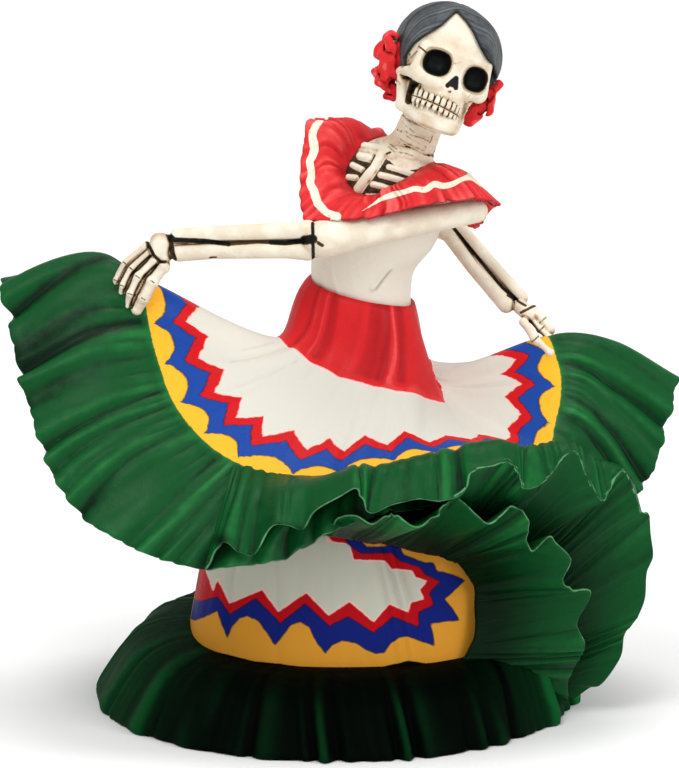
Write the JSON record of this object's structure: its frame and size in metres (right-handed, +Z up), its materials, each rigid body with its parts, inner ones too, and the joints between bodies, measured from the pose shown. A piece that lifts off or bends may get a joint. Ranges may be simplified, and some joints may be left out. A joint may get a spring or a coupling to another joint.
{
  "type": "day of the dead skeleton dancer figure",
  "caption": "Cast and painted figurine of a skeleton dancer in a ruffled dress, who holds the skirt out to both sides and stands on its pleated hem.",
  "frame": {"origin": "middle of the flat underside, on the table", "axes": "+Z up, -Y the way the dancer's dress faces, +X to the right of someone who looks at the front"},
  "size_m": [0.1707, 0.1297, 0.1802],
  "materials": {
    "painted_resin": "satin"
  },
  "bodies": {
    "root": {"dancer_figure": "painted_resin"}
  },
  "joints": []
}
